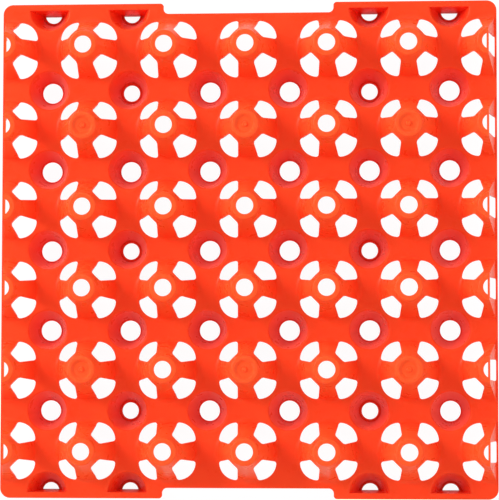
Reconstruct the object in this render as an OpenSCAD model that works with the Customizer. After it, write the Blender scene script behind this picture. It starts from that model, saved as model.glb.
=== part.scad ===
// Plastic egg tray for thirty eggs: one thin injection-moulded sheet, open in the middle of every cone.
// Domes rise from the web on the lattice points, pits hang below it between them, and an egg stands
// with its end in a pit and its sides against the four domes around it.
// Millimetres, +Z up. The feet stand on z = 0 and the tray's centre is x = 0, y = 0.
// The notches, for fingers, are in the two edges that face +Y and -Y.

/* [Tray] */
// Distance from one dome to the next, the same both ways
pitch = 48; // [48:0.5:52]
// Flat flange outside the outermost lattice lines
flange = 4; // [3.5:0.25:7]
// Radius of the four corners of the tray
corner_r = 6; // [2:0.5:12]
// Thickness of the moulded sheet
wall = 1.1; // [0.9:0.05:1.4]
// Overall height, from under the feet to the top of the domes
tray_h = 46.5; // [42:0.5:52]
// Height of the top face of the web
web_z = 18.5; // [16:0.5:21]

/* [Domes] */
// Radius of the dome where its straight wall would meet the web
dome_base_r = 17.6; // [17:0.1:17.9]
// Radius of the dome where its straight wall would meet the hub
dome_top_r = 8.0; // [7.4:0.1:8.6]
// Radius of the hollow fillet between the web and the dome
dome_fillet = 3.9; // [2.5:0.1:4.2]
// Radius of the round edge of the hub
hub_edge = 1.2; // [0.6:0.1:1.6]
// Diameter of the hole in the open hubs
hub_hole = 10.2; // [8:0.1:11]

/* [Closed hubs] */
// Diameter of the dimple in the closed hubs, at the top
dimple_d = 12.2; // [10:0.1:12.4]
// Diameter of the flat floor of the dimple
dimple_floor_d = 8.8; // [7.4:0.1:9.2]
// Depth of the dimple
dimple_h = 1.5; // [0.8:0.1:1.8]
// Diameter of the moulding stub in the middle of the dimple
stub_d = 3.4; // [1.6:0.1:4]
// Height of the moulding stub
stub_h = 1.2; // [0.5:0.1:1.6]
// Diameter of the top of the stub
stub_top_d = 2.4; // [1:0.1:3]

/* [Windows] */
// Distance of the straight inner edge of a window from the dome's axis
window_in = 10.1; // [9.7:0.1:11]
// Length of that straight inner edge
window_in_len = 7.5; // [6:0.1:8.5]
// Distance of the middle of the round outer edge from the dome's axis
window_out = 19.7; // [18.5:0.1:19.9]
// Radius of that round outer edge
window_out_r = 10.5; // [9.5:0.1:12]
// Half of the width of a rib where it reaches the round outer edge
rib_foot_half = 6.1; // [5.4:0.1:6.6]
// Radius of the two outer corners of a window
window_corner = 1.5; // [0.8:0.1:2]
// Length cut off each of the two inner corners of a window
window_corner_in = 0.6; // [0.3:0.1:1]

/* [Pits] */
// Radius inside a pit where its straight wall would meet the top of the web
pit_mouth_r = 11.8; // [11:0.1:11.9]
// Radius inside a pit at the bottom of its straight wall
pit_tip_r = 6.6; // [6.4:0.1:7.2]
// Radius of the rounded mouth of a pit
pit_round = 1.4; // [1:0.1:1.6]
// Diameter of the hole in a plain pit
pit_hole = 12.2; // [11:0.1:12.4]
// Diameter of the hole in a foot
foot_hole = 9.9; // [8:0.1:11]
// How far the feet reach below the plain pits
foot_drop = 2; // [1.4:0.1:3]
// Radius of the round edge under a pit
pit_edge = 0.7; // [0.4:0.1:1]

/* [Edges] */
// How far the end wall of an edge dome stands outside the lattice line, at the web
dome_end_base = 2.8; // [2.2:0.1:2.9]
// How far that wall stands inside the lattice line, at the hub
dome_end_top = 1.4; // [0.8:0.1:2]
// Width of the opening in that wall, at the flange
side_window_low = 12.8; // [11:0.2:15]
// Width of that opening, under the hub
side_window_high = 11.8; // [9:0.2:12]
// Height of the band left above that opening, at its face
side_window_band = 1.6; // [1.2:0.1:3]
// Radius of the two corners of that opening, at the flange
side_window_corner = 0.8; // [0.5:0.1:1.2]
// How far the inside of the end wall of an edge pit stands outside the lattice line, at the web
pit_end_base = 0.5; // [0.3:0.1:1]
// How far it stands inside the lattice line, at the bottom
pit_end_tip = 0.8; // [0.4:0.1:1.4]

/* [Notches] */
// Length of the finger notches
notch_len = 102; // [90:1:106]
// Depth of the finger notches
notch_depth = 6.2; // [4:0.1:6.4]
// Radius of the outer corners of a notch
notch_r_out = 2; // [1:0.25:2.75]
// Radius of the inner corners of a notch
notch_r_in = 3; // [1:0.25:3.5]

/* [Hidden] */
$fn = 64;
tray_colour = [0.98, 0.30, 0.14];

// Domes and pits are a pitch apart, in six steps across and six along
steps = 6;
half = steps * pitch / 2;
tray_half = half + flange;
web_low = web_z - wall;
// A round that meets a face is made this much too big, so that it crosses the face cleanly
nick = 0.003;
// Flat ring that each dome and pit brings with it, to join the web
land = 0.25;
// How far a piece that makes a round, and a shape that cuts, run past the faces that they change
reach = 0.6;
over = 2;

dome_slope = (dome_base_r - dome_top_r) / (tray_h - web_z);
dome_a = atan(dome_slope);
dome_skin = wall / cos(dome_a);
dome_ring = dome_base_r + dome_fillet * tan((90 - dome_a) / 2) + land;

pit_floor = foot_drop + wall;
pit_slope = (pit_mouth_r - pit_tip_r) / (web_z - pit_floor);
pit_a = atan(pit_slope);
pit_skin = wall / cos(pit_a);
pit_ring = pit_mouth_r + pit_round * tan((90 - pit_a) / 2) + land;

dome_end_slope = (dome_end_base + dome_end_top) / (tray_h - web_z);
dome_end_skin = wall / cos(atan(dome_end_slope));
pit_end_slope = (pit_end_base + pit_end_tip) / (web_z - wall);
pit_end_skin = wall / cos(atan(pit_end_slope));

// Where the full domes, edge domes, pits and edge pits stand, in lattice steps
dome_rows = [-2.5, -1.5, -0.5, 0.5, 1.5, 2.5];
dome_columns = [-2, -1, 0, 1, 2];
pit_columns = [-2.5, -1.5, -0.5, 0.5, 1.5, 2.5];
pit_rows = [-2, -1, 0, 1, 2];
edge_pit_columns = [-2.5, -1.5, 1.5, 2.5];

function dome_r(z) = dome_base_r - (z - web_z) * dome_slope;
function pit_r(z) = pit_tip_r + (z - pit_floor) * pit_slope;
// The closed hubs are every second one of the second and the fifth row
function closed_hub(i, j) = abs(j) == 1.5 && (i == 0 || abs(i) == 2);
// The feet are every second pit of the second and the fifth column
function is_foot(i, j) = abs(i) == 1.5 && (j == 0 || abs(j) == 2);

// The corner between two straight lines from p toward q and toward s, less a circle of radius r
// that touches both: taken off a shape it rounds a corner, added to one it fills a corner
module corner_patch(p, q, s, r) {
    e = (q - p) / norm(q - p);
    f = (s - p) / norm(s - p);
    m = (e + f) / norm(e + f);
    sine = sqrt((1 - e * f) / 2);
    t = r * sqrt(1 - sine * sine) / sine;
    c = p + m * r / sine;
    a = p + (e[0] * f[1] > e[1] * f[0] ? f : e) * t;
    b = p + (e[0] * f[1] > e[1] * f[0] ? e : f) * t;
    difference() {
        polygon([c, a + (a - c) * reach / r, p - m * reach / sine, b + (b - c) * reach / r]);
        translate(c) circle(r + nick);
    }
}

// Section of everything inside the outer skin of a dome
module dome_solid_section() {
    difference() {
        union() {
            polygon([
                [0, web_low], [dome_ring, web_low], [dome_ring, web_z], [dome_base_r, web_z],
                [dome_top_r, tray_h], [0, tray_h]
            ]);
            corner_patch([dome_base_r, web_z], [dome_ring, web_z], [dome_top_r, tray_h], dome_fillet);
        }
        corner_patch([dome_top_r, tray_h], [0, tray_h], [dome_base_r, web_z], hub_edge);
    }
}

// Section of the hollow under a dome
module dome_hollow_section() {
    low = web_low - over;
    top = tray_h - wall;
    foot = [dome_r(web_low) - dome_skin, web_low];
    head = [dome_r(top) - dome_skin, top];
    polygon([[0, low], [dome_r(low) - dome_skin, low], head, [0, top]]);
    corner_patch(foot, [dome_ring, web_low], head, dome_fillet + wall);
}

// Section of the hollow under a dome with an open hub
module open_dome_hollow_section() {
    dome_hollow_section();
    translate([0, web_z]) square([hub_hole / 2, tray_h]);
}

// Section of a dome with a closed hub: the dimple keeps the thickness of the sheet
module closed_dome_section() {
    floor_z = tray_h - dimple_h;
    side_a = atan(2 * dimple_h / (dimple_d - dimple_floor_d));
    turn = wall * tan(side_a / 2);
    difference() {
        union() {
            difference() {
                dome_solid_section();
                dome_hollow_section();
            }
            polygon([
                [0, floor_z - wall], [dimple_floor_d / 2 + turn, floor_z - wall],
                [dimple_d / 2 + turn, tray_h - wall], [dimple_d / 2 + turn, tray_h - wall / 2],
                [0, tray_h - wall / 2]
            ]);
        }
        difference() {
            polygon([
                [0, floor_z], [dimple_floor_d / 2, floor_z], [dimple_d / 2, tray_h],
                [dimple_d / 2, tray_h + over], [0, tray_h + over]
            ]);
            polygon([
                [0, floor_z - reach], [stub_d / 2, floor_z - reach], [stub_d / 2, floor_z],
                [stub_top_d / 2, floor_z + stub_h], [0, floor_z + stub_h]
            ]);
        }
    }
}

// Plan of one window, on the line at 0 degrees: a straight inner edge, two rib edges, a round outer edge
module window_plan() {
    centre = [window_out - window_out_r, 0];
    p = [window_in, window_in_len / 2];
    // The sharp outer corner stands half a rib's width from the line of the rib, which is at 45 degrees
    h = sqrt(2) * rib_foot_half;
    wx = (centre[0] + h + sqrt(2 * pow(window_out_r, 2) - pow(centre[0] - h, 2))) / 2;
    w = [wx, wx - h];
    d = (w - p) / norm(w - p);
    n = [d[1], -d[0]];
    far = w + d * (window_out + over - wx) / d[0];
    // Centre of the round in that corner: on the inside of the rib edge, and inside the round edge
    s0 = p + n * window_corner - centre;
    k = s0 * d;
    c = s0 + d * (sqrt(k * k - s0 * s0 + pow(window_out_r - window_corner, 2)) - k);
    in = p - [0, window_corner_in];
    out = p + d * window_corner_in;
    difference() {
        intersection() {
            polygon([
                in, out, far, [far[0], -far[1]], [out[0], -out[1]], [in[0], -in[1]]
            ]);
            translate(centre) circle(window_out_r);
        }
        for (side = [0, 1]) mirror([0, side]) translate(centre) difference() {
            polygon([
                c, c - n * (window_corner + reach), w - centre + d * over - n * reach,
                c * (1 + (window_corner + reach) / norm(c))
            ]);
            translate(c) circle(window_corner + nick);
        }
    }
}

module full_dome(closed) {
    rotate_extrude() {
        if (closed) closed_dome_section();
        else difference() {
            dome_solid_section();
            open_dome_hollow_section();
        }
    }
}

// Everything on the inner side of a wall that leans: x is where it stands at the top of the web
module inner_side(x, slope) {
    low = -over;
    high = tray_h + over;
    translate([0, pitch / 2, 0]) rotate([90, 0, 0]) linear_extrude(pitch) polygon([
        [x + (low - web_z) * slope, low], [pitch, low], [pitch, high], [x + (high - web_z) * slope, high]
    ]);
}

// Plan of the opening in the end wall of an edge dome
module side_window_plan() {
    foot = [-dome_end_base, side_window_low / 2];
    top = [dome_end_top - side_window_band * dome_end_slope, side_window_high / 2];
    difference() {
        polygon([foot, [foot[0], -foot[1]], [top[0], -top[1]], top]);
        for (side = [0, 1]) mirror([0, side]) corner_patch(foot, [foot[0], 0], top, side_window_corner);
    }
}

// Half a dome, closed by a leaning end wall toward -X
module edge_dome() {
    difference() {
        intersection() {
            rotate_extrude() dome_solid_section();
            inner_side(-dome_end_base, dome_end_slope);
        }
        intersection() {
            rotate_extrude() open_dome_hollow_section();
            inner_side(dome_end_skin - dome_end_base, dome_end_slope);
        }
    }
}

// Section of everything inside the outer skin of a pit that ends at the given height
module pit_solid_section(low) {
    out_r = pit_tip_r + wall;
    knee = [out_r, pit_floor - (pit_skin - wall) / pit_slope];
    difference() {
        polygon([
            [0, low], [out_r, low], knee, [pit_r(web_low) + pit_skin, web_low],
            [pit_ring, web_low], [pit_ring, web_z], [0, web_z]
        ]);
        corner_patch([out_r, low], [0, low], knee, pit_edge);
    }
}

// Section of the hollow in a pit, with its hole: below the plain pits' floor, a foot is straight
module pit_hollow_section(low, hole) {
    polygon([
        [0, pit_floor], [pit_tip_r, pit_floor], [pit_r(web_z + over), web_z + over], [0, web_z + over]
    ]);
    corner_patch([pit_mouth_r, web_z], [pit_ring, web_z], [pit_tip_r, pit_floor], pit_round);
    if (low < foot_drop) translate([0, low + wall]) square([pit_tip_r, pit_floor - wall]);
    translate([0, -over]) square([hole / 2, web_z]);
}

module full_pit(foot) {
    low = foot ? 0 : foot_drop;
    rotate_extrude() difference() {
        pit_solid_section(low);
        pit_hollow_section(low, foot ? foot_hole : pit_hole);
    }
}

// Half a pit, closed by a leaning end wall toward -X
module edge_pit() {
    difference() {
        intersection() {
            rotate_extrude() pit_solid_section(0);
            inner_side(-pit_end_base - pit_end_skin, -pit_end_slope);
        }
        intersection() {
            rotate_extrude() pit_hollow_section(0, foot_hole);
            inner_side(-pit_end_base, -pit_end_slope);
        }
    }
}

// Outline of the tray: a square with round corners, less the two finger notches
module outline() {
    e = tray_half;
    pts = [[-e, -e], [e, -e], [e, e], [-e, e]];
    n = [notch_len / 2, e - notch_depth];
    difference() {
        polygon(pts);
        for (k = [0 : 3]) corner_patch(pts[k], pts[(k + 3) % 4], pts[(k + 1) % 4], corner_r);
        for (side = [0, 1]) mirror([0, side]) {
            difference() {
                translate([-n[0], n[1]]) square([2 * n[0], notch_depth + 1]);
                for (end = [0, 1]) mirror([end, 0])
                    corner_patch(n, [0, n[1]], [n[0], e], notch_r_in);
            }
            for (end = [0, 1]) mirror([end, 0])
                corner_patch([n[0], e], [e, e], [n[0], 0], notch_r_out);
        }
    }
}

// Round opening in the web for half a dome or half a pit: the web reaches the middle of its end wall
module half_opening(r, x) {
    intersection() {
        circle(r);
        translate([x, -pitch / 2]) square(pitch);
    }
}

// The flat web and flange, open where the domes and pits go: it laps half of the land that each one brings
module web() {
    dome_r = dome_ring - land / 2;
    pit_r = pit_ring - land / 2;
    translate([0, 0, web_low]) linear_extrude(wall) difference() {
        outline();
        for (j = dome_rows, i = dome_columns) translate([i, j] * pitch) circle(dome_r);
        for (i = pit_columns, j = pit_rows) translate([i, j] * pitch) circle(pit_r);
        for (j = dome_rows, side = [0, 1]) mirror([side, 0]) translate([-steps / 2, j] * pitch)
            half_opening(dome_r, dome_end_skin / 2 - dome_end_base);
        for (i = edge_pit_columns, side = [0, 1]) mirror([0, side]) translate([i, -steps / 2] * pitch)
            rotate(90) half_opening(pit_r, -pit_end_base - pit_end_skin / 2);
    }
}

// Every piece of the moulding: what it is, where, and how far it is turned
places = concat(
    [for (j = dome_rows, i = dome_columns) [closed_hub(i, j) ? "closed dome" : "open dome", i, j, 0]],
    [for (j = dome_rows, i = [-3, 3]) ["edge dome", i, j, i < 0 ? 0 : 180]],
    [for (i = pit_columns, j = pit_rows) [is_foot(i, j) ? "foot" : "pit", i, j, 0]],
    [for (i = edge_pit_columns, j = [-3, 3]) ["edge pit", i, j, j < 0 ? 90 : 270]],
    [["web", 0, 0, 0]]
);

// Plan of everything that is cut straight down through dome, web and flange alike
module window_plans() {
    for (j = dome_rows, i = dome_columns) translate([i, j] * pitch)
        for (a = [45, 135, 225, 315]) rotate(a) window_plan();
    for (j = dome_rows, side = [0, 180]) rotate(side) translate([-steps / 2, j] * pitch) {
        for (a = [45, 315]) rotate(a) window_plan();
        side_window_plan();
    }
}

module tray() {
    color(tray_colour) difference() {
        for (k = places) translate([k[1], k[2], 0] * pitch) rotate(k[3]) {
            if (k[0] == "closed dome") full_dome(true);
            if (k[0] == "open dome") full_dome(false);
            if (k[0] == "edge dome") edge_dome();
            if (k[0] == "foot") full_pit(true);
            if (k[0] == "pit") full_pit(false);
            if (k[0] == "edge pit") edge_pit();
            if (k[0] == "web") web();
        }
        translate([0, 0, web_low - over]) linear_extrude(tray_h) window_plans();
    }
}

tray();
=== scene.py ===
import math

import bpy
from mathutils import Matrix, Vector

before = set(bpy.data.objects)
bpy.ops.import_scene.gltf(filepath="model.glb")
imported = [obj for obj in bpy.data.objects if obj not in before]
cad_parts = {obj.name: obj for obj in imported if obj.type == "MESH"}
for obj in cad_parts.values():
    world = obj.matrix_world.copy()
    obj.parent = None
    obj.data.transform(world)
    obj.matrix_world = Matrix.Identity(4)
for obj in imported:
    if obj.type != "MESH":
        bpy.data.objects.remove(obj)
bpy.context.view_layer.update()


# Lengths are in metres, turns in degrees, and colours are linear

# Painted shade and light: the plastic is painted a deeper red low down, where the valleys lie in shade,
# and more orange up on the domes, where the light falls. The same two colours also give its slow random
# tone
PLASTIC_DEEP_SHADE_AND_TONE = (0.985, 0.044, 0.012, 1.0)
PLASTIC_LIT_AND_PALE_TONE = (0.985, 0.096, 0.022, 1.0)
# Heights between which the painted shade low down gives way to painted light up on the domes
PAINTED_SHADE_HEIGHT = 0.006
PAINTED_LIGHT_HEIGHT = 0.036
# How much of the change of tone is left to slow clouds in the sheet
CLOUD_SHARE = 0.5
CLOUD = {"Scale": 38.0, "Detail": 4.0, "Roughness": 0.55}

# The plastic's mirror light is weak and tinted, and a little of its light comes out of its depth
SKIN = {
    "IOR": 1.49,
    "Specular IOR Level": 0.2,
    "Specular Tint": (1.0, 0.46, 0.38, 1.0),
    "Subsurface Weight": 0.35,
    "Subsurface Radius": (1.0, 0.12, 0.05),
    "Subsurface Scale": 0.003,
}

# The gloss changes a little from place to place: the noise, its usual span, and the roughness it makes
GLOSS = {"Scale": 120.0, "Detail": 5.0}
GLOSS_SPAN = {"From Min": 0.3, "From Max": 0.7, "To Min": 0.24, "To Max": 0.36}

# The soft waviness of a thin moulding, and the fine grain of the mould
WAVE = {"Scale": 90.0, "Detail": 2.0}
WAVE_BUMP = {"Strength": 0.25, "Distance": 0.00025}
GRAIN = {"Scale": 1400.0, "Detail": 3.0}
GRAIN_BUMP = {"Strength": 0.1, "Distance": 0.00005}

WHITE = (1.0, 1.0, 1.0, 1.0)
# The floor is grey to the light. To the eye it glows white, with a faint shadow of the tray
FLOOR_SIDE = 24.0
FLOOR_GREY = (0.86, 0.86, 0.86, 1.0)
FLOOR_SHADE = (0.08, 0.08, 0.08, 1.0)
FLOOR_GLOW = 0.95
# How much of the white that the eye sees is shown to mirrors too: in full it veils the pits
FLOOR_MIRRORED = 0.2
TENT_MIRRORED = 0.0

# Strength of the tent at the sides and straight above, and the elevations between which it falls
TENT_SIDE = 0.88
TENT_TOP = 0.6
TENT_FROM = 48.0
TENT_TO = 72.0

# Name, place, width and power of each lamp
LAMPS = [
    ("key", (-1.4, 0.7, 1.1), 0.8, 26.0),
    ("fill", (1.5, -0.4, 0.9), 0.8, 4.0),
]

# The camera is fitted to the holes of the photograph: 1.53 m above the tray, a little to its lower right
CAMERA_SPOT = (0.1108, -0.0942, 1.523)
CAMERA_TURN = (3.562, 4.173, 0.0767)
CAMERA_LENS = 183.09
CAMERA_SENSOR = 36.0
CAMERA_CLIP = (0.01, 100.0)


def new_material(name):
    mat = bpy.data.materials.new(name)
    mat.use_nodes = True
    mat.node_tree.nodes.clear()
    return mat, mat.node_tree


def added(tree, kind, settings=None):
    """A new node, with the constants given for its sockets."""
    node = tree.nodes.new("ShaderNode" + kind)
    for name, value in (settings or {}).items():
        node.inputs[name].default_value = value
    return node


def noise(tree, where, settings):
    node = added(tree, "TexNoise", settings)
    tree.links.new(where.outputs["Object"], node.inputs["Vector"])
    return node


def bump(tree, height, settings):
    node = added(tree, "Bump", settings)
    tree.links.new(height.outputs["Fac"], node.inputs["Height"])
    return node


def plastic_tone_and_painted_shade(tree, where):
    """Base colour with painted shade, deeper red low down and more orange high up, and a slow random tone
    from place to place.
    """
    link = tree.links.new
    split = added(tree, "SeparateXYZ")
    link(where.outputs["Object"], split.inputs["Vector"])
    # Painted shade: deeper red low down, more orange high up
    height_shade = added(tree, "MapRange", {"From Min": PAINTED_SHADE_HEIGHT, "From Max": PAINTED_LIGHT_HEIGHT})
    link(split.outputs["Z"], height_shade.inputs["Value"])
    cloud = noise(tree, where, CLOUD)
    share = added(tree, "Math")
    share.operation = "MULTIPLY_ADD"
    link(cloud.outputs["Fac"], share.inputs[0])
    share.inputs[1].default_value = CLOUD_SHARE
    share.inputs[2].default_value = -CLOUD_SHARE / 2
    both = added(tree, "Math")
    both.operation = "ADD"
    both.use_clamp = True
    link(height_shade.outputs["Result"], both.inputs[0])
    link(share.outputs["Value"], both.inputs[1])
    tone = added(tree, "ValToRGB")
    tone.color_ramp.elements[0].color = PLASTIC_DEEP_SHADE_AND_TONE
    tone.color_ramp.elements[1].color = PLASTIC_LIT_AND_PALE_TONE
    link(both.outputs["Value"], tone.inputs["Fac"])
    return tone.outputs["Color"]


def tray_material():
    mat, tree = new_material("tray_plastic")
    link = tree.links.new
    out = added(tree, "OutputMaterial")
    skin = added(tree, "BsdfPrincipled", SKIN)
    link(skin.outputs["BSDF"], out.inputs["Surface"])
    where = added(tree, "TexCoord")
    link(plastic_tone_and_painted_shade(tree, where), skin.inputs["Base Color"])

    gloss = noise(tree, where, GLOSS)
    rough = added(tree, "MapRange", GLOSS_SPAN)
    link(gloss.outputs["Fac"], rough.inputs["Value"])
    link(rough.outputs["Result"], skin.inputs["Roughness"])

    low = bump(tree, noise(tree, where, WAVE), WAVE_BUMP)
    fine = bump(tree, noise(tree, where, GRAIN), GRAIN_BUMP)
    link(low.outputs["Normal"], fine.inputs["Normal"])
    link(fine.outputs["Normal"], skin.inputs["Normal"])
    return mat


def picked(tree, lighting, seen, mirrored):
    """The first shader lights things. The second is what the camera and glass see, and mirrors in part."""
    link = tree.links.new
    ray = added(tree, "LightPath")
    eye = added(tree, "Math")
    eye.operation = "MULTIPLY_ADD"
    link(ray.outputs["Is Glossy Ray"], eye.inputs[0])
    eye.inputs[1].default_value = mirrored
    link(ray.outputs["Is Camera Ray"], eye.inputs[2])
    clear = added(tree, "Math")
    clear.operation = "MAXIMUM"
    link(eye.outputs["Value"], clear.inputs[0])
    link(ray.outputs["Is Transmission Ray"], clear.inputs[1])
    pick = added(tree, "MixShader")
    link(clear.outputs["Value"], pick.inputs["Fac"])
    link(lighting, pick.inputs[1])
    link(seen, pick.inputs[2])
    return pick.outputs["Shader"]


def floor_material():
    mat, tree = new_material("floor")
    link = tree.links.new
    out = added(tree, "OutputMaterial")
    matte = added(tree, "BsdfDiffuse", {"Color": FLOOR_GREY})
    shade = added(tree, "BsdfDiffuse", {"Color": FLOOR_SHADE})
    white = added(tree, "Emission", {"Color": WHITE, "Strength": FLOOR_GLOW})
    both = added(tree, "AddShader")
    link(shade.outputs["BSDF"], both.inputs[0])
    link(white.outputs["Emission"], both.inputs[1])
    shown = picked(tree, matte.outputs["BSDF"], both.outputs["Shader"], FLOOR_MIRRORED)
    link(shown, out.inputs["Surface"])
    return mat


def lay_floor():
    bpy.ops.mesh.primitive_plane_add(size=FLOOR_SIDE, location=(0.0, 0.0, 0.0))
    floor = bpy.context.object
    floor.name = "floor"
    floor.data.materials.append(floor_material())


def white_tent():
    """A white tent around the tray, dimmer straight above it, where a camera hangs over a table."""
    world = bpy.data.worlds.new("room")
    bpy.context.scene.world = world
    world.use_nodes = True
    tree = world.node_tree
    tree.nodes.clear()
    link = tree.links.new
    where = added(tree, "TexCoord")
    split = added(tree, "SeparateXYZ")
    link(where.outputs["Generated"], split.inputs["Vector"])
    falls = {
        "From Min": math.sin(math.radians(TENT_FROM)),
        "From Max": math.sin(math.radians(TENT_TO)),
        "To Min": TENT_SIDE,
        "To Max": TENT_TOP,
    }
    height = added(tree, "MapRange", falls)
    height.interpolation_type = "SMOOTHSTEP"
    link(split.outputs["Z"], height.inputs["Value"])
    tent = added(tree, "Background", {"Color": WHITE})
    link(height.outputs["Result"], tent.inputs["Strength"])
    white = added(tree, "Background", {"Color": WHITE})
    out = added(tree, "OutputWorld")
    shown = picked(tree, tent.outputs["Background"], white.outputs["Background"], TENT_MIRRORED)
    link(shown, out.inputs["Surface"])


def soft_lamp(name, spot, width, power):
    """A square lamp that faces the middle of the tray."""
    data = bpy.data.lights.new(name, "AREA")
    data.shape = "SQUARE"
    data.size = width
    data.energy = power
    lamp = bpy.data.objects.new(name, data)
    lamp.location = spot
    lamp.rotation_euler = (-Vector(spot)).to_track_quat("-Z", "Y").to_euler()
    bpy.context.collection.objects.link(lamp)


def set_camera():
    data = bpy.data.cameras.new("camera")
    data.sensor_fit = "HORIZONTAL"
    data.sensor_width = CAMERA_SENSOR
    data.lens = CAMERA_LENS
    data.clip_start, data.clip_end = CAMERA_CLIP
    camera = bpy.data.objects.new("camera", data)
    camera.location = CAMERA_SPOT
    camera.rotation_euler = [math.radians(a) for a in CAMERA_TURN]
    bpy.context.collection.objects.link(camera)
    bpy.context.scene.camera = camera


plastic = tray_material()
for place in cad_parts["tray"].material_slots:
    place.material = plastic
lay_floor()
white_tent()
for lamp in LAMPS:
    soft_lamp(*lamp)
set_camera()
bpy.context.scene.view_settings.view_transform = "Standard"
